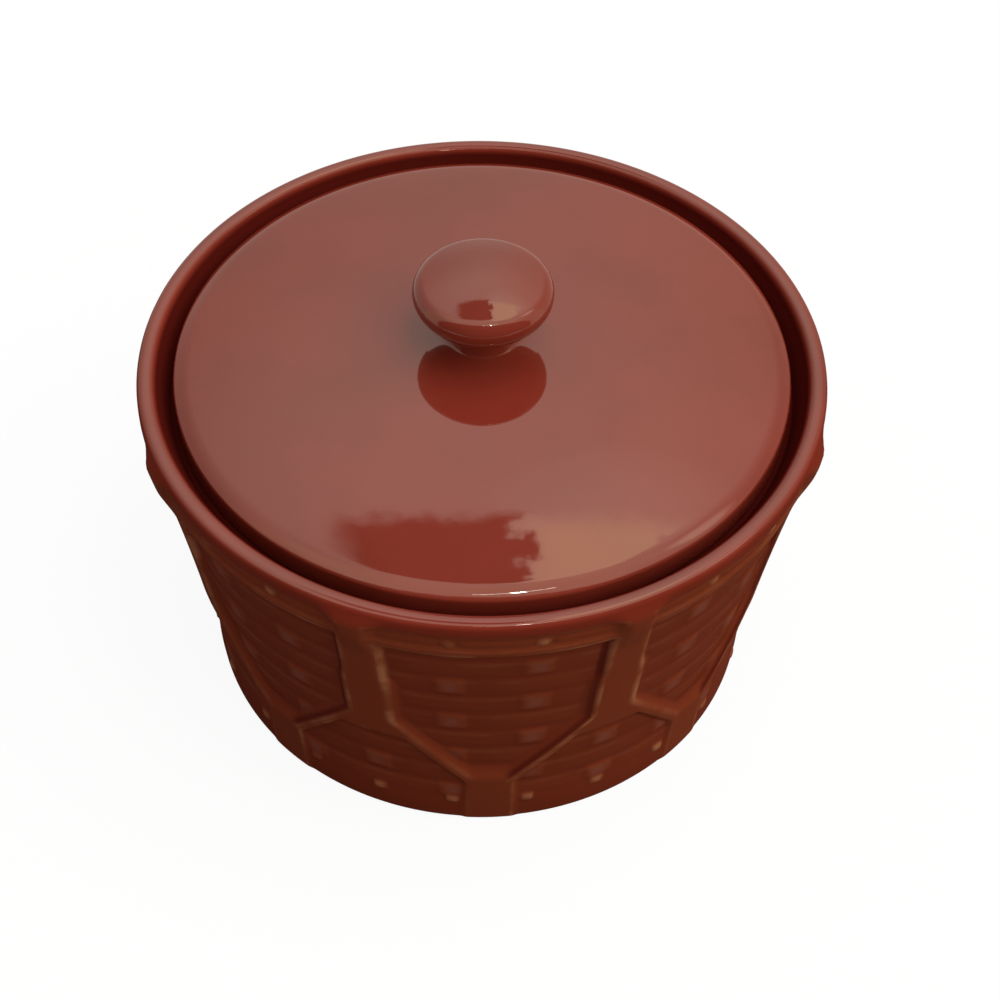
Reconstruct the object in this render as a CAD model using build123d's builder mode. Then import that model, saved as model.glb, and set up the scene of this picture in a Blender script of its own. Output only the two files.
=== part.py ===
from build123d import *
import os
from math import asin, atan2, ceil, cos, degrees, radians, sin, tan

# Lidded stoneware crock with moulded basket-weave relief.
# Millimetres, +Z up, the origin in the middle of the foot, one panel facing -Y.

# Crock body
rim_radius = 100.0       # outside of the lip
crock_height = 113.0     # table to the top of the lip
base_radius = 84.8       # face of the straps at the table
wall_bow = 1.5           # hollow of the flared wall at mid height
wall_thickness = 6.0     # behind the weave
floor_thickness = 6.5
inner_corner = 9.0       # round between wall and floor inside
foot_width = 7.0         # flat unglazed ring that stands on the table
foot_recess = 1.5        # height of the underside above that ring
foot_round = 1.8         # eased edge between wall and foot ring

# Lip and the ledge that carries the lid
lip_thickness = 5.8
lip_height = 4.6
mouth_taper = 3.2        # how much narrower the mouth is at the ledge
ledge_depth = 9.5        # below the top of the lip
ledge_width = 6.0
ledge_thickness = 4.5

# Relief: straps and ribs stand on woven panels
strap_count = 8
panel_depth = 2.2        # face of the straps to the grooves of the weave
trim_depth = 1.7         # face of the straps to the plain trim under the lip
trim_height = 8.2
bead_height = 4.2        # round bead that runs along the trim
bead_lift = 1.1
ridge_height = 2.2       # rail between the trim and the panels
ridge_depth = 0.3
border_height = 13.2     # plain border above the table
border_depth = 0.4       # at the foot, from where the border leans back to the weave
strap_width_top = 8.4
strap_width_middle = 11.0
strap_width_low = 12.0
strap_step_height = 75.8
strap_foot_height = 45.4
ear_lift = 2.0           # how far a strap's top swells out under the lip
ear_width = 15.0         # where it runs into the lip
ear_low = 88.0
ear_height = 107.5
foot_strap_width = 13.0
foot_strap_height = 23.9
rib_width = 3.4
rib_top_height = 51.9
relief_draft = 30.0      # slope of the relief's sides, degrees
relief_bite = 1.6        # how deep the relief is rooted in the wall

# Weave: rows that pass behind and before upright stakes
stakes_per_panel = 3
row_pitch = 10.3
row_hidden = 2.6         # part of the lowest row that the border covers
row_bulge = 0.8
stake_width = 8.0
stake_height = 8.0
stake_lift = 0.5         # above the crown of a row
dot_width = 4.0
dot_height = 3.6
dot_depth = 0.5          # face of the straps to the crown of a border dot
dot_gap = 0.2            # border dot to the weave above it

# Lid
lid_gap = 1.4            # lid edge to the mouth at the ledge
lid_edge_height = 9.85   # seat to the brim of the dome
lid_edge_round = 5.4     # rolled edge, across
lid_edge_drop = 4.3      # and down
lid_foot_round = 1.0
lid_rise = 7.65          # brim to crown
lid_thickness = 7.5
lid_seat_width = 6.0

# Knob
knob_radius = 20.1
knob_cap_radius = 54.7   # of the low dome on top
knob_roll = 4.6          # of the edge round that dome
knob_under = 9.3         # widest ring to neck
knob_under_lift = 0.8    # slope of the underside where it leaves the neck
knob_under_pull = 0.43   # share of the overhang along which it keeps that slope
knob_neck_radius = 9.3
knob_neck_height = 8.7
knob_flare = 0.6         # small hollow round where the neck meets the lid

# Heights and radii that follow from the sizes above
strap_top_height = crock_height - lip_height
trim_bottom = strap_top_height - trim_height
panel_top = trim_bottom - ridge_height
lip_round = lip_thickness / 2
ledge_height = crock_height - ledge_depth
mouth_radius = rim_radius - lip_thickness
ledge_outer = mouth_radius - mouth_taper
ledge_inner = ledge_outer - ledge_width
floor_height = foot_recess + floor_thickness
lean = atan2(rim_radius - base_radius, strap_top_height)


def face_radius(height):
    share = height / strap_top_height
    straight = base_radius + (rim_radius - base_radius) * share
    return straight - 4 * wall_bow * share * (1 - share)


def inside_radius(height):
    return face_radius(height) - panel_depth - wall_thickness


def leaning_plane(angle, height, radius):
    # Sketch plane on the leaning wall: X runs round the crock, Y up the wall.
    across = (-sin(radians(angle)), cos(radians(angle)), 0)
    outward = (cos(radians(angle)) * cos(lean), sin(radians(angle)) * cos(lean), -sin(lean))
    origin = (radius * cos(radians(angle)), radius * sin(radians(angle)), height)
    return Plane(origin=origin, x_dir=across, z_dir=outward)


def up_wall(height):
    return height / cos(lean)


# Angles: a panel's middle is at -90, straps stand half a module to each side
module = 360 / strap_count
panel_angles = [-90 + module * index for index in range(strap_count)]
strap_angles = [angle + module / 2 for angle in panel_angles]
stake_count = strap_count * stakes_per_panel
stake_pitch = 360 / stake_count
stake_angles = [-90 - stake_pitch / 2 + stake_pitch * index for index in range(stake_count)]

# Weave rows, all round the crock, between the border and the rail; the ends of the outer rows are covered
row_start = border_height - row_hidden
row_count = ceil((panel_top - row_start) / row_pitch)
row_edges = [border_height, *[row_start + row_pitch * index for index in range(1, row_count)], panel_top]
row_middles = [row_start + row_pitch * (index + 0.5) for index in range(row_count)]


def weave_radius(height):
    across = 2 * ((height - row_start) / row_pitch % 1) - 1
    return face_radius(height) - panel_depth + row_bulge * (1 - across ** 2)


# A rib runs from the head of a foot strap to the strap beside it
rib_low = (degrees(foot_strap_width / 2 / face_radius(foot_strap_height)), foot_strap_height)
rib_high = (module / 2 - degrees(strap_width_low / 2 / face_radius(rib_top_height)), rib_top_height)
rib_angle = (rib_low[0] + rib_high[0]) / 2
rib_height = (rib_low[1] + rib_high[1]) / 2
rib_run = radians(rib_high[0] - rib_low[0]) * face_radius(rib_height)
rib_climb = up_wall(rib_high[1] - rib_low[1])
rib_length = (rib_run ** 2 + rib_climb ** 2) ** 0.5
rib_turn = degrees(atan2(rib_climb, rib_run))

# Straps, foot straps and ribs, cut from one band that follows the wall. Their sketches stand off the face,
# so each half width there is less by what the sloped sides run out on the way in.
chord_reach = panel_depth + wall_bow + 2 * relief_bite
strap_stand = ear_lift + relief_bite
strap_slope = strap_stand * tan(radians(relief_draft))
rib_slope = relief_bite * tan(radians(relief_draft))
strap_planes = [leaning_plane(angle, 0, base_radius + strap_stand) for angle in strap_angles]
foot_planes = [leaning_plane(angle, 0, base_radius + relief_bite) for angle in panel_angles]
right_planes = [leaning_plane(angle + rib_angle, 0, base_radius + relief_bite) for angle in panel_angles]
left_planes = [leaning_plane(angle - rib_angle, 0, base_radius + relief_bite) for angle in panel_angles]
top_half = strap_width_top / 2 - strap_slope
middle_half = strap_width_middle / 2 - strap_slope
low_half = strap_width_low / 2 - strap_slope
ear_half = ear_width / 2 - strap_slope
foot_half = foot_strap_width / 2 - rib_slope

with BuildPart() as lattice:
    with BuildSketch(*strap_planes):
        with BuildLine():
            Polyline(
                (0, up_wall(crock_height)),
                (ear_half, up_wall(crock_height)),
                (top_half, up_wall(trim_bottom + trim_height / 2)),
                (top_half, up_wall(panel_top)),
                (middle_half, up_wall(panel_top - relief_bite)),
                (middle_half, up_wall(strap_step_height)),
                (low_half, up_wall(strap_step_height - relief_bite)),
                (low_half, up_wall(strap_foot_height)),
                (0, up_wall(strap_foot_height)),
            )
            mirror(about=Plane.YZ)
        make_face()
    extrude(amount=-chord_reach - strap_stand, taper=-relief_draft)
    with BuildSketch(*foot_planes):
        with BuildLine():
            Polyline(
                (0, -foot_round),
                (foot_half, -foot_round),
                (foot_half, up_wall(foot_strap_height)),
                (0, up_wall(foot_strap_height)),
            )
            mirror(about=Plane.YZ)
        make_face()
    with BuildSketch(*right_planes):
        with Locations((0, up_wall(rib_height))):
            Rectangle(rib_length, rib_width - 2 * rib_slope, rotation=rib_turn)
    with BuildSketch(*left_planes):
        with Locations((0, up_wall(rib_height))):
            Rectangle(rib_length, rib_width - 2 * rib_slope, rotation=-rib_turn)
    extrude(amount=-chord_reach - relief_bite, taper=-relief_draft)
    with BuildSketch(Plane.XZ):
        with BuildLine():
            root = panel_depth + relief_bite
            Line((face_radius(0) - root, 0), (face_radius(0) - foot_round, 0))
            Line((face_radius(0) - foot_round, 0), (face_radius(foot_round), foot_round))
            ThreePointArc(
                (face_radius(foot_round), foot_round),
                (face_radius(ear_low / 2), ear_low / 2),
                (face_radius(ear_low), ear_low),
            )
            lip_inside = (rim_radius - lip_round / 2, crock_height - lip_round / 2)
            Line((face_radius(ear_low), ear_low), (face_radius(ear_height) + ear_lift, ear_height))
            Line((face_radius(ear_height) + ear_lift, ear_height), lip_inside)
            Line(lip_inside, (rim_radius - root, strap_top_height))
            ThreePointArc(
                (rim_radius - root, strap_top_height),
                (face_radius(strap_top_height / 2) - root, strap_top_height / 2),
                (face_radius(0) - root, 0),
            )
        make_face()
    revolve(axis=Axis.Z, mode=Mode.INTERSECT)

# Stakes that pass before a row, kept clear of the straps and ribs
stake_planes = []
dot_planes = []
for index, angle in enumerate(stake_angles):
    slot = index % stakes_per_panel
    offset = abs((angle + 90 + module / 2) % module - module / 2)
    rib_share = (offset - rib_low[0]) / (rib_high[0] - rib_low[0])
    rib_there = rib_low[1] + (rib_high[1] - rib_low[1]) * rib_share
    under_strap = slot == stakes_per_panel - 1
    for row, height in enumerate(row_middles):
        low, high = height - stake_height / 2, height + stake_height / 2
        above = low - rib_width / 2 > rib_there and high < panel_top and not under_strap
        below = high + rib_width / 2 < min(rib_there, strap_foot_height)
        if (index + row) % 2 == 0 and (above or below):
            crown = face_radius(height) - panel_depth + row_bulge + stake_lift
            stake_planes.append(leaning_plane(angle, height, crown))
    dot_planes.append((angle, border_height - dot_gap - dot_height / 2, dot_depth))
    if not under_strap:
        dot_planes.append((angle, trim_bottom + trim_height / 2, trim_depth - bead_lift - stake_lift))
dot_planes = [leaning_plane(a, h, face_radius(h) - depth) for a, h, depth in dot_planes]
stake_root = row_bulge + stake_lift + relief_bite

# Crock
with BuildPart() as crock:
    with BuildSketch(Plane.XZ):
        with BuildLine():
            foot_outer = base_radius - border_depth - foot_round
            foot_inner = foot_outer - foot_width
            Line((0, foot_recess), (foot_inner - foot_recess, foot_recess))
            Line((foot_inner - foot_recess, foot_recess), (foot_inner, 0))
            Line((foot_inner, 0), (foot_outer, 0))
            Line((foot_outer, 0), (face_radius(foot_round) - border_depth, foot_round))
            Line(
                (face_radius(foot_round) - border_depth, foot_round),
                (weave_radius(border_height), border_height),
            )
            for low, high in zip(row_edges, row_edges[1:]):
                middle = (low + high) / 2
                ThreePointArc(
                    (weave_radius(low), low), (weave_radius(middle), middle), (weave_radius(high), high)
                )
            Line((weave_radius(panel_top), panel_top), (face_radius(panel_top) - ridge_depth, panel_top))
            Line(
                (face_radius(panel_top) - ridge_depth, panel_top),
                (face_radius(trim_bottom) - ridge_depth, trim_bottom),
            )
            Line(
                (face_radius(trim_bottom) - ridge_depth, trim_bottom),
                (face_radius(trim_bottom) - trim_depth, trim_bottom),
            )
            bead_low = trim_bottom + (trim_height - bead_height) / 2
            bead_high = bead_low + bead_height
            bead_middle = (bead_low + bead_high) / 2
            Line(
                (face_radius(trim_bottom) - trim_depth, trim_bottom),
                (face_radius(bead_low) - trim_depth, bead_low),
            )
            ThreePointArc(
                (face_radius(bead_low) - trim_depth, bead_low),
                (face_radius(bead_middle) - trim_depth + bead_lift, bead_middle),
                (face_radius(bead_high) - trim_depth, bead_high),
            )
            Line(
                (face_radius(bead_high) - trim_depth, bead_high),
                (rim_radius - trim_depth, strap_top_height),
            )
            Line((rim_radius - trim_depth, strap_top_height), (rim_radius, strap_top_height))
            Line((rim_radius, strap_top_height), (rim_radius, crock_height - lip_round))
            ThreePointArc(
                (rim_radius, crock_height - lip_round),
                (rim_radius - lip_round, crock_height),
                (mouth_radius, crock_height - lip_round),
            )
            Line((mouth_radius, crock_height - lip_round), (ledge_outer, ledge_height))
            Line((ledge_outer, ledge_height), (ledge_inner, ledge_height))
            under_ledge = ledge_height - ledge_thickness
            inside_top = under_ledge - (inside_radius(under_ledge) - ledge_inner)
            Line((ledge_inner, ledge_height), (ledge_inner, under_ledge))
            Line((ledge_inner, under_ledge), (inside_radius(inside_top), inside_top))
            inside_low = floor_height + inner_corner
            inside_middle = (inside_top + inside_low) / 2
            ThreePointArc(
                (inside_radius(inside_top), inside_top),
                (inside_radius(inside_middle), inside_middle),
                (inside_radius(inside_low), inside_low),
            )
            corner_tip = inner_corner * (1 - 0.5 ** 0.5)
            ThreePointArc(
                (inside_radius(inside_low), inside_low),
                (inside_radius(inside_low) - corner_tip, floor_height + corner_tip),
                (inside_radius(inside_low) - inner_corner, floor_height),
            )
            Line((inside_radius(inside_low) - inner_corner, floor_height), (0, floor_height))
            Line((0, floor_height), (0, foot_recess))
        make_face()
    revolve(axis=Axis.Z)
    add(lattice.part)
    with BuildSketch(*stake_planes):
        Rectangle(stake_width, stake_height)
    with BuildSketch(*dot_planes):
        Rectangle(dot_width, dot_height)
    extrude(amount=-stake_root)
crock.part.label = "crock"

# Lid, resting on the ledge
lid_radius = ledge_outer - lid_gap
lid_edge_top = ledge_height + lid_edge_height
lid_crown = lid_edge_top + lid_rise
knob_base_radius = knob_neck_radius + knob_flare
dome_radius = lid_radius - lid_edge_round
seat_inner = lid_radius - lid_seat_width
hollow_radius = seat_inner - lid_foot_round
hollow_edge = ledge_height + lid_foot_round
hollow_crown = lid_crown - lid_thickness

with BuildPart() as lid:
    with BuildSketch(Plane.XZ):
        with BuildLine():
            Line((0, lid_crown), (knob_base_radius, lid_crown))
            dome = TangentArc((knob_base_radius, lid_crown), (dome_radius, lid_edge_top), tangent=(1, 0))
            roll = TangentArc(dome @ 1, (lid_radius, lid_edge_top - lid_edge_drop), tangent=dome % 1)
            Line(roll @ 1, (lid_radius, ledge_height + lid_foot_round))
            Line((lid_radius, ledge_height + lid_foot_round), (lid_radius - lid_foot_round, ledge_height))
            Line((lid_radius - lid_foot_round, ledge_height), (seat_inner, ledge_height))
            Line((seat_inner, ledge_height), (hollow_radius, hollow_edge))
            Bezier(
                (hollow_radius, hollow_edge),
                (hollow_radius * 2 / 3, hollow_crown),
                (hollow_radius / 3, hollow_crown),
                (0, hollow_crown),
            )
            Line((0, hollow_crown), (0, lid_crown))
        make_face()
    revolve(axis=Axis.Z)
lid.part.label = "lid"

# Knob, stuck on the flat crown of the lid
neck_top = lid_crown + knob_neck_height
knob_ring = neck_top + knob_under
cap_centre = knob_ring - ((knob_cap_radius - knob_roll) ** 2 - (knob_radius - knob_roll) ** 2) ** 0.5
knob_top = cap_centre + knob_cap_radius
cap_angle = asin((knob_radius - knob_roll) / (knob_cap_radius - knob_roll))
cap_edge = (knob_cap_radius * sin(cap_angle), cap_centre + knob_cap_radius * cos(cap_angle))
overhang = knob_radius - knob_neck_radius

with BuildPart() as lid_knob:
    with BuildSketch(Plane.XZ):
        with BuildLine():
            Line((0, lid_crown), (knob_base_radius, lid_crown))
            Bezier(
                (knob_base_radius, lid_crown),
                (knob_neck_radius, lid_crown + knob_flare / 2),
                (knob_neck_radius, lid_crown + 2 * knob_flare),
            )
            Line((knob_neck_radius, lid_crown + 2 * knob_flare), (knob_neck_radius, neck_top))
            Bezier(
                (knob_neck_radius, neck_top),
                (knob_neck_radius + overhang * knob_under_pull, neck_top + knob_under_lift),
                (knob_radius, knob_ring - knob_under / 2),
                (knob_radius, knob_ring),
            )
            TangentArc((knob_radius, knob_ring), cap_edge, tangent=(0, 1))
            ThreePointArc(
                cap_edge,
                (knob_cap_radius * sin(cap_angle / 2), cap_centre + knob_cap_radius * cos(cap_angle / 2)),
                (0, knob_top),
            )
            Line((0, knob_top), (0, lid_crown))
        make_face()
    revolve(axis=Axis.Z)
lid_knob.part.label = "lid_knob"

os.makedirs("parts", exist_ok=True)
export_step(crock.part, "parts/crock.step")
export_step(lid.part, "parts/lid.step")
export_step(lid_knob.part, "parts/lid_knob.step")
print(f"crock {2 * rim_radius:.0f} mm across the lip, {knob_top:.1f} mm to the top of the knob")
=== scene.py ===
import bpy
from math import asin, atan, cos, degrees, pi, radians, sin
from mathutils import Matrix, Vector


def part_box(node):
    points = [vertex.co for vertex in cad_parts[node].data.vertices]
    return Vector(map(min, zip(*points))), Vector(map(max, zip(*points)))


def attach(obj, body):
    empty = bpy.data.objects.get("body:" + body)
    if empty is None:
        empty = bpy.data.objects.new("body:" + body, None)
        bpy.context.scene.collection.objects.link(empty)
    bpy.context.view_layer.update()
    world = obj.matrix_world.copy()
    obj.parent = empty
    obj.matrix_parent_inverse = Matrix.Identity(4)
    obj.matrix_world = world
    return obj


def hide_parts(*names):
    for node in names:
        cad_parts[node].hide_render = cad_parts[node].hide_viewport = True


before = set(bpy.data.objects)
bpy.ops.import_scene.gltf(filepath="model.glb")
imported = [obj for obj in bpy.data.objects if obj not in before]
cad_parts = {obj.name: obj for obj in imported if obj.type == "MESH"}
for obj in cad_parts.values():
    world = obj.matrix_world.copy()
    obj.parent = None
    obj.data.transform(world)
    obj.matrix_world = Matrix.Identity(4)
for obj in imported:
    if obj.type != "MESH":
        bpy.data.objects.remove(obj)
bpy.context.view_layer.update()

mm = 0.001
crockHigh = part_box("crock")[1]
lidLow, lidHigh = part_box("lid")
knobLow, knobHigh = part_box("lid_knob")
print("frame loaded:", sorted(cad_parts))


# A socket that takes part in Python sums. Each operator adds a Math node.
class Wire:
    def __init__(self, net, socket):
        self.net = net
        self.socket = socket

    def maths(self, operation, *others):
        return self.net.maths(operation, self, *others)

    def __add__(self, other):
        return self.maths("ADD", other)

    def __sub__(self, other):
        return self.maths("SUBTRACT", other)

    def __mul__(self, other):
        return self.maths("MULTIPLY", other)

    def __truediv__(self, other):
        return self.maths("DIVIDE", other)

    def __rsub__(self, other):
        return self.net.maths("SUBTRACT", other, self)

    def __rtruediv__(self, other):
        return self.net.maths("DIVIDE", other, self)

    def __abs__(self):
        return self.maths("ABSOLUTE")

    __radd__ = __add__
    __rmul__ = __mul__


# A node tree that is being drawn. add() makes any node: its type, its settings, then its sockets.
class Net:
    def __init__(self, tree):
        self.tree = tree

    def add(self, kind, settings=None, sockets=None, out=0):
        node = self.tree.nodes.new(kind)
        for key, value in (settings or {}).items():
            setattr(node, key, value)
        for key, value in (sockets or {}).items():
            if isinstance(value, Wire):
                self.tree.links.new(value.socket, node.inputs[key])
            else:
                node.inputs[key].default_value = value
        return Wire(self, node.outputs[out]) if len(node.outputs) else node

    def also(self, wire, out):              # another output of the same node
        return Wire(self, wire.socket.node.outputs[out])

    def maths(self, operation, *values):
        return self.add("ShaderNodeMath", {"operation": operation}, dict(enumerate(values)))

    def fade(self, value, start, end):      # 0 at start, 1 at end, soft in between
        settings = {"interpolation_type": "SMOOTHSTEP"}
        return self.add("ShaderNodeMapRange", settings, {0: value, 1: start, 2: end})

    def least(self, softness, *values):
        result = values[0]
        for value in values[1:]:
            result = result.maths("SMOOTH_MIN", value, softness)
        return result

    def most(self, *values):
        result = values[0]
        for value in values[1:]:
            result = result.maths("MAXIMUM", value)
        return result

    def mix(self, share, first, second):    # colours
        return self.add("ShaderNodeMix", {"data_type": "RGBA"}, {0: share, 6: first, 7: second}, 2)

    def noise(self, place, scale, detail):
        return self.add("ShaderNodeTexNoise", None, {"Vector": place, "Scale": scale, "Detail": detail})

    def stored(self, name):                 # a number that the relief keeps on the wall
        return self.add("ShaderNodeAttribute", {"attribute_name": name}, out="Fac")


def newNet(owner):                          # an empty tree on a material or a world
    owner.use_nodes = True
    owner.node_tree.nodes.clear()
    return Net(owner.node_tree)


def linkObject(name, data):
    item = bpy.data.objects.new(name, data)
    bpy.context.scene.collection.objects.link(item)
    return item


# Profiles are lists of radius and height, in mm
def steps(start, end, count):               # evenly from start to end, without start
    return [start + (end - start) * (index + 1) / count for index in range(count)]


def roundSpots(middle, radius, first, last, count):
    # part of a circle; angles in degrees, 0 outward and 90 up
    return [(middle[0] + radius * cos(radians(turn)), middle[1] + radius * sin(radians(turn)))
            for turn in [first, *steps(first, last, count)]]


def curveSpots(ends, handles, count):
    # cubic curve, without its start
    spots = (ends[0], *handles, ends[1])
    curve = []
    for share in steps(0, 1, count):
        rest = 1 - share
        weights = (rest ** 3, 3 * share * rest ** 2, 3 * share ** 2 * rest, share ** 3)
        curve.append(tuple(sum(w * spot[i] for w, spot in zip(weights, spots)) for i in (0, 1)))
    return curve


def ringArc(ring, sector, sectors):         # the ring's points along one sector, both ends included
    width = len(ring) // sectors
    return [ring[(sector * width + i) % len(ring)] for i in range(width + 1)]


def bandFaces(a, b, slant):
    # between two arcs of neighbouring rings; slant picks the diagonal of a carved square
    if len(a) == 3 or len(b) == 3:
        wide, narrow = (a, b) if len(a) == 3 else (b, a)
        (first, middle, last), (start, end) = wide, narrow
        threes = [(first, middle, start), (middle, end, start), (middle, last, end)]
        return threes if wide is a else [face[::-1] for face in threes]
    if slant is None:
        return [(*a, *reversed(b))]
    if slant:
        return [(a[0], a[1], b[0]), (a[1], b[1], b[0])]
    return [(a[0], a[1], b[1]), (a[0], b[1], b[0])]


# Turned shapes. A stretch is a profile, its columns, and 1 where the relief is carved or else 0.
# Neighbouring rings have equal columns, or one has twice as many, and a spot of radius 0 is a pole.
def turnedMesh(name, stretches, halfPanels=1):
    points, carved, rings, faces = [], [], [], []
    for spots, columns, relief in stretches:
        for radius, height in spots:
            count = columns if radius > 0 else 1
            rings.append(range(len(points), len(points) + count))
            for column in range(count):
                angle = 2 * pi * column / count - pi / 2
                points.append((radius * cos(angle) * mm, radius * sin(angle) * mm, height * mm))
                carved.append(relief)
    for low, high in zip(rings, rings[1:]):
        sectors = min(len(low), len(high))
        if sectors == 1:
            sectors = max(len(low), len(high))
        for sector in range(sectors):
            a, b = ringArc(low, sector, sectors), ringArc(high, sector, sectors)
            slant = None
            if carved[a[0]] and carved[b[0]]:
                slant = (halfPanels * sector // sectors) % 2    # mirrored about each panel's middle
            faces += bandFaces(a, b, slant)
    mesh = bpy.data.meshes.new(name)
    mesh.from_pydata(points, [], faces)
    mesh.attributes.new("carved", "FLOAT", "POINT").data.foreach_set("value", carved)
    mesh.polygons.foreach_set("use_smooth", [True] * len(faces))
    mesh.validate()
    return mesh


# Glaze. A fade is where a mask goes from 0 to 1.
glazeLook = {
    "red": (0.205, 0.025, 0.0145, 1),       # thick glaze
    "deep": (0.140, 0.017, 0.0075, 1),      # darker: the mottle, and in the recesses and a band under the lip
    "thinAndHighlight": (0.330, 0.115, 0.055, 1),       # thin glaze over the raised edges, with painted highlight
    "padHighlight": (0.230, 0.074, 0.058, 1),        # painted highlight on the stakes, greyer
    "brown": (0.190, 0.0340, 0.0125, 1),    # on the outside of the wall
    "paintedShade": (0.080, 0.007, 0.0045, 1),      # painted shade in the mouth round the ledge and beside the straps
    "clay": (0.46, 0.31, 0.20, 1),          # bare stoneware
    "ior": 1.52,
    "roughness": 0.035,
    "roughDrift": 0.03,
    "clayRoughness": 0.6,
    "wallGloss": 0.0,
    "wallCoat": 0.015,
    "driftScale": 24.0, "driftFade": (0.35, 0.68),
    "speckScale": 420.0, "speckFade": (0.4, 0.7),
    "speckShare": 0.10,                     # of the mottle, the rest is drift
    "mottle": 0.45,                         # share by which the colour goes deep
    "brownFade": (111.0, 106.0), "brownShare": 0.85,            # height in mm
    "recessDarkShare": 0.55,
    "padShare": 0.12, "padDrift": 0.5,
    "wearAndHighlightScale": 95.0, "wearAndHighlightFade": (0.36, 0.64), "wearAndHighlightShare": 0.15, "wearAndHighlightDrift": 0.75,
    "bareFade": (0.5, 0.2),                 # mm above the bare clay
    "waveScale": 34.0,                      # slow unevenness that ripples reflections
    "waveDepth": 0.10, "waveHeight": 1.5, "speckHeight": 0.02,
}


def glazeMaterial(name, bareBelow, carvedWall):
    look = glazeLook
    material = bpy.data.materials.new(name)
    net = newNet(material)
    place = net.add("ShaderNodeTexCoord", out="Object")
    height = net.add("ShaderNodeSeparateXYZ", None, {0: place}, "Z")
    drift = net.noise(place, look["driftScale"], 3.0)
    speck = net.noise(place, look["speckScale"], 2.0)
    depth = net.fade(drift, *look["driftFade"]) * (1 - look["speckShare"])
    depth = depth + net.fade(speck, *look["speckFade"]) * look["speckShare"]
    colour = net.mix(depth * look["mottle"], look["red"], look["deep"])
    rough = drift * look["roughDrift"] + (look["roughness"] - look["roughDrift"] / 2)
    gloss = {"IOR": look["ior"]}
    if carvedWall:
        shiny = net.stored("shinyGlaze")
        gloss = {"IOR": look["ior"], "Specular IOR Level": look["wallGloss"], "Coat IOR": look["ior"],
                 "Coat Roughness": look["roughness"],
                 "Coat Weight": shiny * (1 - look["wallCoat"]) + look["wallCoat"]}
        wall = net.fade(height, *[level * mm for level in look["brownFade"]])
        colour = net.mix((1 - shiny) * wall * look["brownShare"], colour, look["brown"])
        # darker in the recessed panels and in a band under the lip
        colour = net.mix(net.stored("recessDarkGlaze") * look["recessDarkShare"], colour, look["deep"])
        # painted shade in the mouth round the ledge and in the grooves beside the straps
        colour = net.mix(net.stored("paintedShadeGlaze"), colour, look["paintedShade"])
        # painted highlight on the stakes in front
        padHighlightStrength = drift * look["padDrift"] + look["padShare"]
        colour = net.mix(net.stored("padHighlightGlaze") * padHighlightStrength, colour, look["padHighlight"])
        # thin glaze on the raised edges, partly painted highlight
        uneven = net.noise(place, look["wearAndHighlightScale"], 3.0)
        wearAndHighlight = net.fade(uneven, *look["wearAndHighlightFade"]) * look["wearAndHighlightDrift"] + look["wearAndHighlightShare"]
        colour = net.mix(net.stored("thinGlazeAndHighlight") * wearAndHighlight, colour, look["thinAndHighlight"])
    bare = net.fade(height, *[bareBelow + level * mm for level in look["bareFade"]])
    colour = net.mix(bare, colour, look["clay"])
    wave = net.noise(place, look["waveScale"], 1.0) + speck * look["speckHeight"]
    bump = net.add("ShaderNodeBump", None, {
        "Height": wave, "Strength": look["waveDepth"], "Distance": look["waveHeight"] * mm})
    shader = net.add("ShaderNodeBsdfPrincipled", None, {
        "Base Color": colour, "Roughness": rough + bare * look["clayRoughness"], "Normal": bump, **gloss})
    net.add("ShaderNodeOutputMaterial", None, {"Surface": shader})
    return material


# Crock. Heights and widths are in mm; the lip and the height come from the frame.
crockSizes = {
    "rimRadius": crockHigh.x / mm,
    "height": crockHigh.z / mm,
    "baseRadius": 84.8,
    "wallBow": 1.5,                         # hollow of the flared wall
    "footRound": 1.8,
    "footWidth": 7.4,
    "footRecess": 1.5,
    # the foot ring's inner edge: mm outwards, share of the recess
    "footEdge": ((-2.4, 1), (-1.8, 1), (-1.2, 0.85), (-0.4, 0.1), (0.4, 0), (3.5, 0)),
    "lipHeight": 4.6,
    "lipThickness": 5.8,
    "lipSquare": 2 / 3,                     # outer corner of the lip, 1 would be a circle
    "lipEnd": 85,                           # degrees up that corner, just short of the lip's top
    "mouthTaper": 3.2,
    "mouthShares": (0.3, 0.6, 0.85, 1),     # rows on the way down to the ledge
    "ledgeDepth": 9.5,
    "ledgeWidth": 6.0,
    "ledgeThickness": 4.5,
    "ledgeFillet": 0.7, "filletShare": 0.3,
    # the ledge's two edges: mm outwards, mm up
    "ledgeEdge": ((1.4, 0), (0.7, -0.15), (0.1, -0.8), (0, -1.6)),
    "ledgeUnder": ((0, 0.6), (0.2, -0.2)),
    "insideDepth": 8.2,                     # strap face to the inside
    "floorHeight": 8.0,
    "innerCorner": 9.0,
    "underRings": (0, 15, 35, 55),
    "floorRings": (50, 30, 12, 0),
    "columns": 640,
    "rowStep": 0.96,
}
strapTop = crockSizes["height"] - crockSizes["lipHeight"]


def faceRadius(height):
    share = height / strapTop
    straight = crockSizes["baseRadius"] + (crockSizes["rimRadius"] - crockSizes["baseRadius"]) * share
    return straight - 4 * crockSizes["wallBow"] * share * (1 - share)


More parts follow.
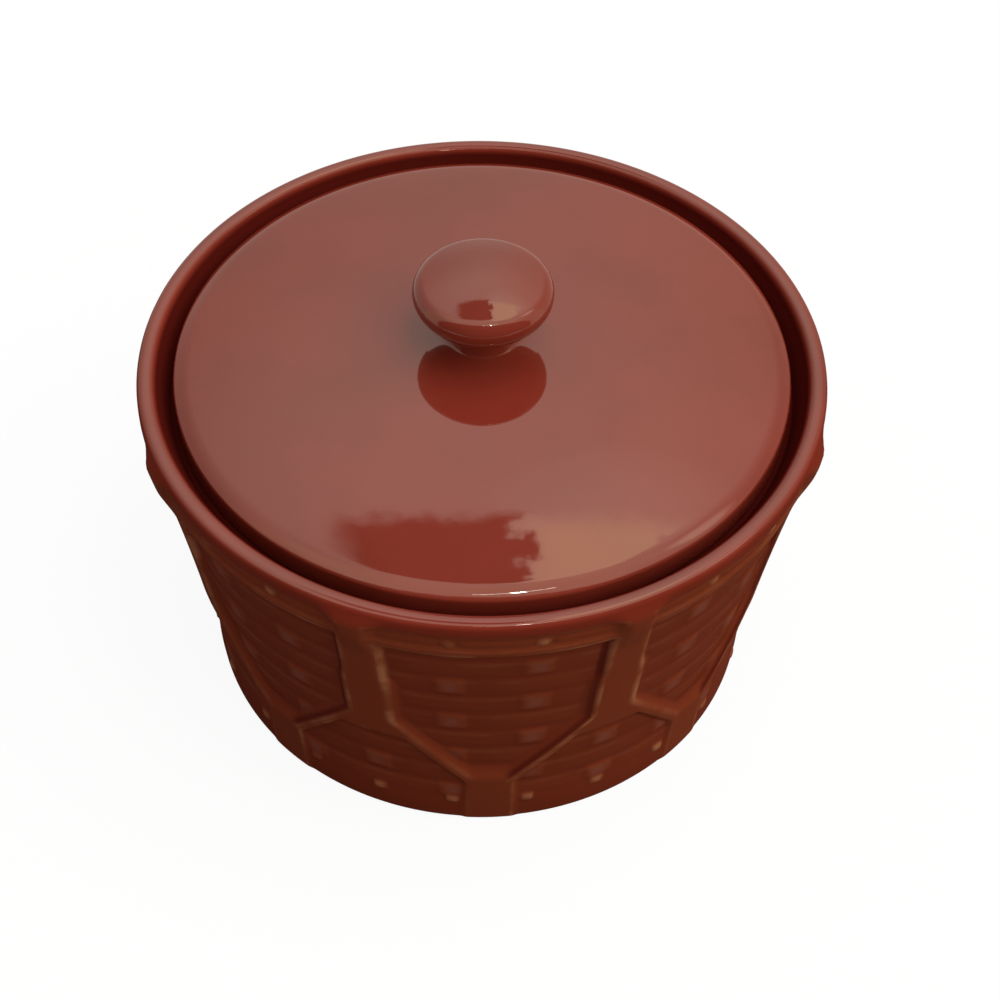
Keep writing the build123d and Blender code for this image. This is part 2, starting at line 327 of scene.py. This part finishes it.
def crockStretches():
    rim, top = crockSizes["rimRadius"], crockSizes["height"]
    footRound, recess = crockSizes["footRound"], crockSizes["footRecess"]
    footInner = crockSizes["baseRadius"] - footRound - crockSizes["footWidth"]
    underside = [(radius, recess) for radius in crockSizes["underRings"]]
    underside += [(footInner + out, recess * share) for out, share in crockSizes["footEdge"]]

    lipRound = crockSizes["lipThickness"] / 2
    lipMiddle = rim - lipRound
    wallTop = top - lipRound
    wallRows = round((wallTop - footRound) / crockSizes["rowStep"])
    outside = roundSpots((faceRadius(footRound) - footRound, footRound), footRound, -90, -18, 4)
    outside += [(faceRadius(min(z, strapTop)), z) for z in [footRound, *steps(footRound, wallTop, wallRows)]]
    for turn in steps(0, crockSizes["lipEnd"], 7):
        across, up = [side(radians(turn)) ** crockSizes["lipSquare"] for side in (cos, sin)]
        outside.append((lipMiddle + lipRound * across, wallTop + lipRound * up))
    lip = roundSpots((lipMiddle, wallTop), lipRound, 90, 180, 6)

    mouth = rim - crockSizes["lipThickness"]
    ledge = top - crockSizes["ledgeDepth"]
    ledgeOuter = mouth - crockSizes["mouthTaper"]
    ledgeInner = ledgeOuter - crockSizes["ledgeWidth"]
    fillet = crockSizes["ledgeFillet"]
    inside = [(mouth + (ledgeOuter - mouth) * share, wallTop + (ledge + fillet - wallTop) * share)
              for share in crockSizes["mouthShares"]]
    eased = fillet * crockSizes["filletShare"]
    inside += [(ledgeOuter - eased, ledge + eased), (ledgeOuter - fillet, ledge)]
    inside += [(ledgeInner + out, ledge + up) for out, up in crockSizes["ledgeEdge"]]
    underLedge = ledge - crockSizes["ledgeThickness"]
    inside += [(ledgeInner + out, underLedge + up) for out, up in crockSizes["ledgeUnder"]]
    depth, corner = crockSizes["insideDepth"], crockSizes["innerCorner"]
    insideTop = underLedge - (faceRadius(underLedge) - depth - ledgeInner)
    insideLow = crockSizes["floorHeight"] + corner
    inside += [(faceRadius(z) - depth, z) for z in [insideTop, *steps(insideTop, insideLow, 10)]]
    inside += roundSpots((faceRadius(insideLow) - depth - corner, insideLow), corner, 0, -90, 7)[1:]
    inside += [(radius, crockSizes["floorHeight"]) for radius in crockSizes["floorRings"]]
    fine = crockSizes["columns"]
    plain = fine // 2
    return [(underside, plain, 0.0), (outside, fine, 1.0), (lip, fine, 0.0), (inside, plain, 0.0)]


# Relief of the wall: straps and ribs stand proud, woven panels lie between them. All in mm and degrees.
reliefSizes = {
    "strapCount": 8,
    "stakesPerPanel": 3,
    "panelDepth": 2.0,
    "panelTop": 98.0,
    "cornerSoft": 1.2,
    "strapTopHalf": 4.2,
    "strapMiddleHalf": 5.5,
    "strapLowHalf": 6.0,
    "strapStep": 75.8,
    "stepSoft": 2.0,                        # above and below the step
    "topAbove": 2.0,                        # the strap is narrow from here above the panel's top
    "topBelow": 3.0,                        # and full from here below it
    "strapFoot": 45.4,
    "edgeSoft": 2.2,
    "leafSoft": 2.2,                        # more slope beside the strap's lower part
    "lowSoft": 0.4,                         # and in the lower panels
    "trimSoft": -0.2,                       # less along the trim
    "earLift": 2.1,                         # the strap's top swells out under the lip
    "earLow": 88.0,
    "earFull": 103.5,
    "earTop": 106.8,
    "earEnd": 112.2,
    "earHalf": 6.4,
    "earSpread": 6.5,                       # wider where it runs into the lip
    "trimDepth": 1.1,
    "trimLow": 100.2,
    "trimTop": 108.4,
    "trimMiddle": 103.6,
    "trimCorner": 0.8,
    "beadLift": 0.5,
    "footStrapHalf": 6.5,
    "ribLow": 22.8,
    "ribHigh": 49.8,
    "ribLowAngle": 3.75,
    "ribHighAngle": 17.6,
    "ribHalf": 0.8,
    "ribSquare": 0.63,                      # cosine of the rib's slope
    "borderDepth": 0.4,
    "borderLow": 5.0,
    "borderTop": 19.0,
    "lowDepth": 1.6,
    "rowStart": 10.6,
    "rowPitch": 10.3,
    "rowBulge": 0.27,
    "weaveSoft": 0.25,
    "weaveInset": 1.2,                      # from the foot of a panel's edge
    "stakeHalf": 5.0,
    "stakeSoft": 1.6,
    "stakeLift": 0.34,
    "dotLift": 0.75,
    "dotMiddle": 11.4,
    "dotWide": 0.9,                         # height over width of a border dot
}
# Fades are in mm unless said otherwise. A line is its middle beside an edge, then the fade away from it.
reliefMasks = {
    "ear": (1.0, 0.3),                      # share of its half width
    "strip": (1.0, 0.45),                   # share of half a row, from its edge inwards
    "over": (-0.9, 0.5),                    # cosine along a strip that passes over a stake
    "underShare": 0.4,                      # of a strip's bulge where it passes under
    "stakeEnd": (5.0, 3.3),
    "lowWeave": (1.0, 3.0),
    "aboveBorder": (12.0, 15.0),            # height
    "inTrim": (0.4, 1.8),
    "bead": (2.6, 0.6),
    "beadBreak": (2.6, 3.8),
    "trimDot": (2.4, 0.9),
    "borderDot": (2.1, 1.0),
    "dotInset": (0.3, 1.5),
    "rightHalf": (-0.02, 0.02),             # share of a panel and a strap
    "ribStart": (-1.5, 0.5),                # degrees from the ribs' low end
    "strapStart": (-2.0, 6.0),              # up from the ribs' high end
    "leftEdge": (0.5, 1.7, 0.3), "leftShare": 0.25,             # thin glaze with painted highlight on the lit edge beside the left strap, and its share along the ribs
    "rightEdge": (-0.3, 1.0, 0.2), "rightShare": 0.8,
    "lowEdge": (0.2, 0.9, 0.1), "lowShare": 0.25, "lowRight": 0.5,          # more on the right: painted highlight
    "trimEdge": (0.1, 0.8, 0.1), "trimShare": 0.25,
    "grooveShade": (1.3, 1.5, 0.2), "grooveShadeShare": 0.8,              # painted shade
    "padAcross": (3.6, 0.8), "padAlong": (0.75, 0.2),           # share of half a row; where the stakes get a painted highlight
    "rowShoulder": (0.76, 0.16, 0.02), "rowShare": 0.14,        # share of a row; painted highlight along each row's shoulder
    "underLipDark": (-2.0, 0.0), "underLipDarkEnd": (0.3, -0.6),          # darker band under the lip: from the trim's top, from the ears' end
    # where the mouth gets painted shade, in the gap under the lid's edge
    "mouthRadius": (83.0, 84.0), "mouthHeight": (101.0, 102.0), "mouthShade": (112.6, 111.0),
    "lipGloss": (112.75, 112.25),           # height
}


def reliefTree(material):
    tree = bpy.data.node_groups.new("basketRelief", "GeometryNodeTree")
    tree.is_modifier = True
    tree.interface.new_socket("Geometry", in_out="INPUT", socket_type="NodeSocketGeometry")
    tree.interface.new_socket("Geometry", in_out="OUTPUT", socket_type="NodeSocketGeometry")
    for key in reliefSizes:
        tree.interface.new_socket(key, in_out="INPUT", socket_type="NodeSocketFloat")
    net = Net(tree)
    given = net.add("NodeGroupInput")
    size = {key: net.also(given, key) for key in reliefSizes}
    masks = reliefMasks

    def mask(value, key):
        return net.fade(value, *masks[key])

    def maskFrom(value, place, key):        # a fade that is counted from a place
        return net.fade(value, place + masks[key][0], place + masks[key][1])

    def line(value, key):
        middle, outer, inner = masks[key]
        return net.fade(abs(value - middle), outer, inner)

    place = net.add("GeometryNodeInputPosition")
    apart = net.add("ShaderNodeSeparateXYZ", None, {0: place})
    x = apart / mm
    y = net.also(apart, "Y") / mm
    z = net.also(apart, "Z") / mm
    radius = (x * x + y * y).maths("SQRT")
    angle = y.maths("ARCTAN2", x) + pi / 2
    module = 2 * pi / size["strapCount"]
    half = module / 2
    offset = angle.maths("PINGPONG", half)              # angle to the panel's middle
    offsetDegrees = offset * (180 / pi)
    acrossPanel = offset * radius
    acrossStrap = (half - offset) * radius

    # strap outline, narrow at the lip and leaf-like below the step
    leaf = net.fade(z, size["strapStep"] + size["stepSoft"], size["strapStep"] - size["stepSoft"])
    middle = net.fade(z, size["panelTop"] + size["topAbove"], size["panelTop"] - size["topBelow"])
    strapHalf = size["strapTopHalf"] + (size["strapMiddleHalf"] - size["strapTopHalf"]) * middle
    strapHalf = strapHalf + (size["strapLowHalf"] - size["strapMiddleHalf"]) * leaf
    soft = size["edgeSoft"] + size["leafSoft"] * leaf

    # ribs climb from the foot straps to the straps
    ribShare = (offsetDegrees - size["ribLowAngle"]) / (size["ribHighAngle"] - size["ribLowAngle"])
    ribHeight = size["ribLow"] + (size["ribHigh"] - size["ribLow"]) * net.most(ribShare, 0.0)
    overRib = (z - ribHeight) * size["ribSquare"] - size["ribHalf"]
    underRib = (ribHeight - z) * size["ribSquare"] - size["ribHalf"]

    # distances inward from the edges of the panels and the trim, and the cuts that they make
    upper = net.least(size["cornerSoft"], acrossStrap - strapHalf, size["panelTop"] - z, overRib)
    lower = net.least(size["cornerSoft"], acrossPanel - size["footStrapHalf"], size["strapFoot"] - z,
                      underRib)
    trim = net.least(size["trimCorner"], acrossStrap - size["strapTopHalf"], size["trimTop"] - z,
                     z - size["trimLow"])
    upperCut = net.fade(upper, 0.0, soft)
    lowerCut = net.fade(lower, 0.0, size["edgeSoft"] + size["lowSoft"])
    trimCut = net.fade(trim, 0.0, size["edgeSoft"] + size["trimSoft"])
    upBorder = net.fade(z, size["borderLow"], size["borderTop"])
    lowerDepth = size["borderDepth"] + (size["lowDepth"] - size["borderDepth"]) * upBorder
    cut = upperCut * size["panelDepth"] + lowerCut * lowerDepth + trimCut * size["trimDepth"]
    earRise = net.fade(z, size["earLow"], size["earFull"]) * net.fade(z, size["earEnd"], size["earTop"])
    earHalf = size["earHalf"] + size["earSpread"] * net.fade(z, size["earFull"], size["earEnd"])
    ear = earRise * mask(acrossStrap / earHalf, "ear") * size["earLift"]

    # weave: flat strips that pass over and under upright stakes
    stakePitch = module / size["stakesPerPanel"]
    along = angle / stakePitch + 0.5                    # half a pitch off the panel's middle
    stake = along.maths("ROUND")
    row = (z - size["rowStart"]) / size["rowPitch"]
    rowIndex = row.maths("FLOOR")
    upRow = row - rowIndex
    acrossRow = abs(upRow * 2 - 1)
    over = 0 - ((along + rowIndex) * pi).maths("COSINE")
    passing = mask(over, "over") * (1 - masks["underShare"]) + masks["underShare"]
    weaver = size["rowBulge"] * mask(acrossRow, "strip") * passing
    fromStake = abs(along - stake) * stakePitch * radius
    stakeFlat = net.fade(fromStake, size["stakeHalf"], size["stakeHalf"] - size["stakeSoft"])
    stakeLong = mask(acrossRow * size["rowPitch"] / 2, "stakeEnd")
    inFront = ((stake + rowIndex) * pi).maths("COSINE").maths("GREATER_THAN", 0.0)
    stakeBump = (size["rowBulge"] + size["stakeLift"]) * stakeFlat * stakeLong * inFront
    woven = net.fade(upper, soft * 0.5, soft + size["weaveInset"])
    woven = woven + mask(lower, "lowWeave") * mask(z, "aboveBorder")
    weave = weaver.maths("SMOOTH_MAX", stakeBump, size["weaveSoft"]) * woven

    # bead under the lip, broken by a dot at each stake, and dots along the border
    fromTrim = abs(z - size["trimMiddle"])
    fromTrimDot = (fromStake * fromStake + fromTrim * fromTrim).maths("SQRT")
    fromDot = net.most(fromStake * size["dotWide"], abs(z - size["dotMiddle"]))
    inTrim = mask(trim, "inTrim")
    bead = mask(fromTrim, "bead") * mask(fromStake, "beadBreak") * inTrim
    dots = mask(fromTrimDot, "trimDot") * inTrim + mask(fromDot, "borderDot") * mask(lower, "dotInset")
    lift = weave + bead * size["beadLift"] + dots * size["dotLift"] + ear

    # glaze runs thin on the raised edges, with painted highlight that is stronger on their lit side and on
    # the dots, stakes and row shoulders; painted shade beside the straps and in the mouth; darker in the
    # recesses and under the lip
    turn = angle / module
    right = mask(turn - turn.maths("ROUND"), "rightHalf")
    left = 1 - right
    apartRibs = maskFrom(offsetDegrees, size["ribLowAngle"], "ribStart")
    besideStrap = maskFrom(z, size["ribHigh"], "strapStart")
    leftEdge = line(upper, "leftEdge") * left * (besideStrap * (1 - masks["leftShare"]) + masks["leftShare"])
    rightEdge = line(upper, "rightEdge") * right * masks["rightShare"]
    lowEdge = line(lower, "lowEdge") * (right * masks["lowRight"] + masks["lowShare"])
    trimEdge = line(trim, "trimEdge") * masks["trimShare"]
    edge = net.most(net.most(leftEdge, rightEdge) * apartRibs, lowEdge, trimEdge)
    # thin glaze and painted highlight on the edges, the row shoulders and the dots
    thinAndHighlight = net.most(edge, line(upRow, "rowShoulder") * woven * masks["rowShare"], dots)
    # painted shade inside each panel beside its right-hand strap, on the wall that faces away from the light
    grooveShade = line(upper, "grooveShade") * right * apartRibs * masks["grooveShadeShare"]
    # painted highlight on each stake that lies in front
    padHighlight = mask(fromStake, "padAcross") * mask(acrossRow, "padAlong") * inFront * woven
    # darker in the recesses, less where the weave stands up, and in a band under the lip
    recessDark = (upperCut + lowerCut) * (1 - weave / (size["rowBulge"] + size["stakeLift"]))
    recessDark = recessDark + maskFrom(z, size["trimTop"], "underLipDark") * maskFrom(z, size["earEnd"], "underLipDarkEnd")

    carved = net.add("GeometryNodeInputNamedAttribute", {"data_type": "FLOAT"}, {"Name": "carved"})
    # painted shade inside the lip and round the ledge
    mouth = mask(radius, "mouthRadius") * mask(z, "mouthHeight")
    finish = {
        "thinGlazeAndHighlight": thinAndHighlight * carved,
        "recessDarkGlaze": recessDark * carved,
        "padHighlightGlaze": padHighlight * carved,
        "paintedShadeGlaze": net.most(mouth * (1 - carved) * mask(z, "mouthShade"), grooveShade * carved),
        "shinyGlaze": 1 - net.most(carved, mouth) * mask(z, "lipGloss"),
    }
    push = (lift - cut) * carved / radius
    shift = net.add("ShaderNodeCombineXYZ", None, {0: x * push * mm, 1: y * push * mm, 2: 0.0})
    turned = net.also(given, "Geometry")
    shaped = net.add("GeometryNodeSetPosition", None, {"Geometry": turned, "Offset": shift})
    for name, value in finish.items():
        shaped = net.add("GeometryNodeStoreNamedAttribute", {"data_type": "FLOAT", "domain": "POINT"},
                         {"Geometry": shaped, "Name": name, "Value": value})
    whole = net.add("GeometryNodeRealizeInstances", None, {"Geometry": shaped})
    dressed = net.add("GeometryNodeSetMaterial", None, {"Geometry": whole, "Material": material})
    net.add("NodeGroupOutput", None, {"Geometry": dressed})
    return tree


def carve(piece, tree, sizes):
    modifier = piece.modifiers.new("relief", "NODES")
    modifier.node_group = tree
    for item in tree.interface.items_tree:
        if item.in_out == "INPUT" and item.name in sizes:
            modifier[item.identifier] = float(sizes[item.name])
    bpy.context.view_layer.update()
    shaped = piece.evaluated_get(bpy.context.evaluated_depsgraph_get())
    mesh = bpy.data.meshes.new_from_object(shaped)
    piece.modifiers.clear()
    piece.data = mesh


def makeCrock():
    glaze = glazeMaterial("crockGlaze", 0.0, True)
    halfPanels = 2 * reliefSizes["strapCount"]
    crock = linkObject("crockBody", turnedMesh("crockBody", crockStretches(), halfPanels))
    carve(crock, reliefTree(glaze), reliefSizes)
    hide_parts("crock")
    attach(crock, "crock")
    print("crock:", len(crock.data.polygons), "faces")


# Lid, in mm. It lies in the mouth on its flat edge.
lidSizes = {
    "radius": lidHigh.x / mm,
    "seat": lidLow.z / mm,
    "crown": lidHigh.z / mm,
    "rise": 7.733,
    "domeRadius": 84.6,
    "shoulderRound": 14.0,
    "edgeTurn": 31.0,                       # slope at which the shoulder meets the tight edge
    "footRound": 1.0,
    "seatWidth": 6.0,
    "seatEase": ((0.5, 0.2), (1.3, 0.0)),   # from the hollow to the seat: mm outwards, mm up
    "seatRing": 0.6,                        # last flat ring before the round
    "thickness": 7.5,
    "flat": 9.9, "innerRing": 6,            # under the knob
    "columns": 320,
}


def lidSpots():
    radius, seat, crown = lidSizes["radius"], lidSizes["seat"], lidSizes["crown"]
    rise, flat, domeRadius = lidSizes["rise"], lidSizes["flat"], lidSizes["domeRadius"]
    footRound, shoulder = lidSizes["footRound"], lidSizes["shoulderRound"]
    roof = crown - lidSizes["thickness"]
    hollow = radius - lidSizes["seatWidth"] - footRound
    slope = atan(2 * rise / (domeRadius - flat))        # of the dome where the shoulder starts
    turn = radians(lidSizes["edgeTurn"])
    edgeRound = (radius - domeRadius - shoulder * (sin(turn) - sin(slope))) / (1 - sin(turn))
    shoulderMiddle = domeRadius - shoulder * sin(slope), crown - rise - shoulder * cos(slope)
    edgeMiddle = radius - edgeRound, shoulderMiddle[1] + (shoulder - edgeRound) * cos(turn)
    edgeAngle, domeAngle = 90 - degrees(turn), 90 - degrees(slope)
    spots = [(0, roof)]
    roofHandles = (hollow / 3, roof), (hollow * 2 / 3, roof)
    spots += curveSpots(((0, roof), (hollow, seat + footRound)), roofHandles, 16)
    spots += [(hollow + out, seat + up) for out, up in lidSizes["seatEase"]]
    spots += [(radius - footRound - lidSizes["seatRing"], seat)]
    spots += roundSpots((radius - footRound, seat + footRound), footRound, -90, 0, 5)
    spots += [(radius, z) for z in steps(seat + footRound, edgeMiddle[1], 3)]
    spots += roundSpots(edgeMiddle, edgeRound, 0, edgeAngle, 9)[1:]
    spots += roundSpots(shoulderMiddle, shoulder, edgeAngle, domeAngle, 12)[1:]
    for r in steps(domeRadius, flat, 36):
        spots.append((r, crown - rise * ((r - flat) / (domeRadius - flat)) ** 2))
    return spots + [(lidSizes["innerRing"], crown), (0, crown)]


def makeLid(glaze):
    lid = linkObject("lidDome", turnedMesh("lidDome", [(lidSpots(), lidSizes["columns"], 0.0)]))
    lid.data.materials.append(glaze)
    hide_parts("lid")
    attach(lid, "lid")
    print("lid:", len(lid.data.polygons), "faces")


# Mushroom knob, in mm
knobSizes = {
    "radius": knobHigh.x / mm,
    "foot": knobLow.z / mm,
    "top": knobHigh.z / mm,
    "capRadius": 54.7,                      # low dome that the edge leads into
    "roll": 4.6,                            # edge round that dome
    "under": 9.3,                           # neck's top to the widest ring
    "underLift": 0.8,
    "underPull": 0.43,
    "neckRadius": 9.8,
    "neckHeight": 8.45,
    "crownRadius": 64.0,                    # middle of the top, a trace pointed
    "crownSlope": 0.05,
    "crownTip": 3.0,
    "flare": 8.5,                           # slip smoothed out on the lid
    "flareHeight": 1.6,
    "flareSag": 0.04, "flarePull": 0.42,    # how far it hollows, low and beside the neck
    "flareSunk": 0.12,                      # its edge lies in the lid
    "flareTuck": (1.0, 0.1),                # and turns under: mm inwards, mm down
    "innerRing": 6,
    "columns": 192,
}


def knobSpots():
    foot, radius, neck = knobSizes["foot"], knobSizes["radius"], knobSizes["neckRadius"]
    flare, flareHeight = knobSizes["flare"], knobSizes["flareHeight"]
    under, roll, cap = knobSizes["under"], knobSizes["roll"], knobSizes["capRadius"]
    sunk = foot - knobSizes["flareSunk"]
    flareTop = foot + flareHeight
    neckTop = foot + knobSizes["neckHeight"]
    ring = neckTop + under
    capAngle = 90 - degrees(asin((radius - roll) / (cap - roll)))
    tuckIn, tuckDown = knobSizes["flareTuck"]
    spots = [(0, foot), (knobSizes["innerRing"], foot), (neck + flare - tuckIn, sunk - tuckDown)]
    hollowed = foot + flareHeight * knobSizes["flarePull"]
    flareHandles = (neck + flare / 2, foot - knobSizes["flareSag"]), (neck, hollowed)
    spots += curveSpots(((neck + flare, sunk), (neck, flareTop)), flareHandles, 18)
    spots += [(neck, z) for z in steps(flareTop, neckTop, 4)]
    pulled = neck + knobSizes["underPull"] * (radius - neck)
    underHandles = (pulled, neckTop + knobSizes["underLift"]), (radius, ring - under / 2)
    spots += curveSpots(((neck, neckTop), (radius, ring)), underHandles, 18)
    spots += roundSpots((radius - roll, ring), roll, 0, capAngle, 12)[1:]
    tip = knobSizes["crownTip"]
    for r in steps(cap * cos(radians(capAngle)), 0, 18):
        cone = knobSizes["crownSlope"] * ((r * r + tip * tip) ** 0.5 - tip)
        dome = r * r / 2 / knobSizes["crownRadius"]
        spots.append((r, knobSizes["top"] - (cone + dome)))
    return spots


def makeKnob(glaze):
    knob = linkObject("lidKnob", turnedMesh("lidKnob", [(knobSpots(), knobSizes["columns"], 0.0)]))
    knob.data.materials.append(glaze)
    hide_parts("lid_knob")
    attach(knob, "lid")
    print("knob:", len(knob.data.polygons), "faces")


makeCrock()
lidGlaze = glazeMaterial("lidGlaze", lidSizes["seat"] * mm, False)
makeLid(lidGlaze)
makeKnob(lidGlaze)


# Floor: plain and white, it keeps the crock's shadow and throws little light back on the wall
floorLook = {"size": 0.9, "seen": (0.96, 0.96, 0.955, 1), "bounce": (0.15, 0.145, 0.14, 1), "glow": 0.92}


def makeFloor():
    side = floorLook["size"] / 2
    mesh = bpy.data.meshes.new("floor")
    corners = [(-side, -side, 0), (side, -side, 0), (side, side, 0), (-side, side, 0)]
    mesh.from_pydata(corners, [], [(0, 1, 2, 3)])
    floor = linkObject("floor", mesh)
    material = bpy.data.materials.new("floorWhite")
    net = newNet(material)
    rays = net.add("ShaderNodeLightPath")
    clear = net.most(net.also(rays, "Is Camera Ray"), net.also(rays, "Is Transmission Ray"))
    shown = net.most(clear, net.also(rays, "Is Glossy Ray"))
    colour = net.mix(shown, floorLook["bounce"], floorLook["seen"])
    matt = net.add("ShaderNodeBsdfDiffuse", None, {"Color": colour})
    glow = net.add("ShaderNodeEmission", None, {"Color": (1, 1, 1, 1), "Strength": 1.0})
    surface = net.add("ShaderNodeMixShader", None, {0: clear * floorLook["glow"], 1: matt, 2: glow})
    net.add("ShaderNodeOutputMaterial", None, {"Surface": surface})
    mesh.materials.append(material)


# Room that mirrors in the glaze. Places and fades are parts of a unit direction: across, back and up.
roomLook = {
    "ambient": 0.46,
    "low": 0.93,                            # mirrored walls near the horizon
    "high": 1.55, "highFade": (0.5, 0.92),  # and higher up
    "glow": {"level": 0.55, "azimuth": 168, "elevation": 55, "fade": (0.78, 1.0)},
    "spark": {"level": 0.6, "azimuth": 143, "elevation": 66, "fade": (0.965, 1.0)},
    "glint": {"level": 1.6, "across": 0.61, "back": 0.09, "fade": (0.15, 0.06), "tear": 0.5},
    "front": 0.10, "frontFade": (-0.30, -0.37),                 # share left behind the camera
    "sides": 0.15, "sidesFade": (0.42, 0.64),                   # how much dimmer the far left and right are
    "near": 0.35, "nearFade": (0.22, 0.02),                     # how much brighter overhead and in front
    "tint": (1.0, 0.87, 0.75, 1),
    "tintRight": (1.0, 0.74, 0.60, 1), "rightFade": (0.05, 0.5),
    "tintNear": (1.0, 0.80, 0.60, 1),
    "dim": {"level": 0.2, "across": (-0.19, 0.09), "back": (0.20, 0.40), "soft": 0.012},
    "warm": {"level": 4.0, "across": (0.10, 0.31), "back": (0.16, 0.38), "soft": 0.02,
             "colour": (1.0, 0.80, 0.52, 1)},
    "ragged": 0.11, "raggedScale": 22.0,
    "tear": {"left": 0.4, "right": 1.5, "near": 0.3, "far": 0.5},
}
# Two broad soft lights from the right, and a lamp and a strip overhead that make the bright points
lampLook = {
    "skies": [
        {"name": "skyLight", "strength": 2.0, "azimuth": 75, "elevation": 58, "spread": 75,
         "colour": (1.0, 1.0, 1.0)},
        {"name": "sideLight", "strength": 0.62, "azimuth": 60, "elevation": 26, "spread": 60,
         "colour": (0.88, 1.08, 0.5)},
    ],
    "panels": [
        {"name": "smallLamp", "azimuth": 20, "elevation": 71, "size": (0.030, 0.030), "glow": 60.0,
         "colour": (1.0, 0.95, 0.88)},
        {"name": "stripLamp", "azimuth": 17, "elevation": 71, "size": (0.20, 0.012), "glow": 14.0,
         "colour": (1.0, 0.86, 0.70)},
    ],
    "distance": 0.75,
    "aim": (0, 0, 0.1),
}


def direction(azimuth, elevation):          # from the crock towards a light or the camera, 0 is the front
    a, e = radians(azimuth), radians(elevation)
    return Vector((sin(a) * cos(e), -cos(a) * cos(e), sin(e)))


def makeRoom():
    room = bpy.data.worlds.new("room")
    bpy.context.scene.world = room
    net = newNet(room)
    rays = net.add("ShaderNodeLightPath")
    clear = net.most(net.also(rays, "Is Camera Ray"), net.also(rays, "Is Transmission Ray"))
    glossy = net.also(rays, "Is Glossy Ray")
    way = net.add("ShaderNodeTexCoord", out="Generated")
    across = net.add("ShaderNodeSeparateXYZ", None, {0: way})
    back, up = net.also(across, "Y"), net.also(across, "Z")
    torn = (net.noise(way, roomLook["raggedScale"], 5.0) - 0.5) * roomLook["ragged"]

    def towards(look):                      # a soft round glow
        there = direction(look["azimuth"], look["elevation"])
        near = net.add("ShaderNodeVectorMath", {"operation": "DOT_PRODUCT"}, {0: way, 1: there}, "Value")
        return net.fade(near, *look["fade"]) * look["level"]

    def patch(look):                        # a part of the ceiling with torn edges
        tear, soft = roomLook["tear"], look["soft"]
        (left, right), (near, far) = look["across"], look["back"]
        sides = net.fade(across + torn * tear["left"], left - 4 * soft, left + 2 * soft)
        sides = sides * net.fade(across + torn * tear["right"], right + soft, right - soft)
        ends = net.fade(back - torn * tear["near"], near - soft, near + soft)
        ends = ends * net.fade(back - torn * tear["far"], far + 2 * soft, far - soft)
        return sides * ends * up.maths("GREATER_THAN", 0.0)

    mirrored = roomLook["low"] + net.fade(up, *roomLook["highFade"]) * (roomLook["high"] - roomLook["low"])
    mirrored = mirrored + towards(roomLook["glow"]) + towards(roomLook["spark"])
    near = net.fade(back, *roomLook["nearFade"])
    glint = roomLook["glint"]
    toGlintAcross, toGlintBack = across - glint["across"], back - glint["back"]
    toGlint = (toGlintAcross * toGlintAcross + toGlintBack * toGlintBack).maths("SQRT")
    glinting = net.fade(toGlint + torn * glint["tear"], *glint["fade"])
    mirrored = mirrored * (1 + near * roomLook["near"]) + glinting * glint["level"]
    sides = net.fade(abs(across), *roomLook["sidesFade"]) * (1 - glinting)
    mirrored = mirrored * (1 - sides * roomLook["sides"])
    front = net.fade(back + torn, *roomLook["frontFade"]) * (1 - roomLook["front"])
    dim = patch(roomLook["dim"])
    warm = patch(roomLook["warm"]) * (1 - dim)
    mirrored = mirrored * (1 - front) * (1 - dim) + dim * roomLook["dim"]["level"]
    mirrored = mirrored * (1 - warm) + warm * roomLook["warm"]["level"]
    seen = glossy * (1 - clear)
    other = (1 - clear) * (1 - glossy)
    strength = clear + seen * mirrored + other * roomLook["ambient"]
    tint = net.mix(net.fade(across, *roomLook["rightFade"]), roomLook["tint"], roomLook["tintRight"])
    tint = net.mix(near, tint, roomLook["tintNear"])
    tint = net.mix(seen, (1, 1, 1, 1), net.mix(warm, tint, roomLook["warm"]["colour"]))
    background = net.add("ShaderNodeBackground", None, {"Color": tint, "Strength": strength})
    net.add("ShaderNodeOutputWorld", None, {"Surface": background})


def makeLamps():
    for sky in lampLook["skies"]:
        sun = linkObject(sky["name"], bpy.data.lights.new(sky["name"], "SUN"))
        sun.data.energy = sky["strength"]
        sun.data.angle = radians(sky["spread"])
        sun.data.color = sky["colour"]
        sun.rotation_euler = direction(sky["azimuth"], sky["elevation"]).to_track_quat("Z", "Y").to_euler()
        sun.visible_glossy = False
    for panel in lampLook["panels"]:
        lamp = linkObject(panel["name"], bpy.data.lights.new(panel["name"], "AREA"))
        lamp.data.shape = "RECTANGLE"
        lamp.data.size, lamp.data.size_y = panel["size"]
        lamp.data.energy = panel["glow"] * pi * panel["size"][0] * panel["size"][1]
        lamp.data.color = panel["colour"]
        way = direction(panel["azimuth"], panel["elevation"])
        lamp.location = way * lampLook["distance"] + Vector(lampLook["aim"])
        lamp.rotation_euler = way.to_track_quat("Z", "Y").to_euler()
        lamp.visible_camera = False


# Camera, from the photograph's outline
cameraLook = {"azimuth": -2.7, "elevation": 47.96, "distance": 0.650, "aim": (0, 0, 0.060), "roll": 0.81,
              "lens": 75.72, "sensor": 36.0, "shift": (0.0194, -0.0211)}


def makeCamera():
    camera = linkObject("camera", bpy.data.cameras.new("camera"))
    way = direction(cameraLook["azimuth"], cameraLook["elevation"])
    turn = way.to_track_quat("Z", "Y").to_matrix() @ Matrix.Rotation(radians(cameraLook["roll"]), 3, "Z")
    place = Vector(cameraLook["aim"]) + way * cameraLook["distance"]
    camera.matrix_world = Matrix.Translation(place) @ turn.to_4x4()
    camera.data.sensor_width = cameraLook["sensor"]
    camera.data.lens = cameraLook["lens"]
    camera.data.shift_x, camera.data.shift_y = cameraLook["shift"]
    camera.data.dof.use_dof = False
    bpy.context.scene.camera = camera


makeFloor()
makeRoom()
makeLamps()
makeCamera()
bpy.context.scene.view_settings.view_transform = "Standard"
print("stage set")
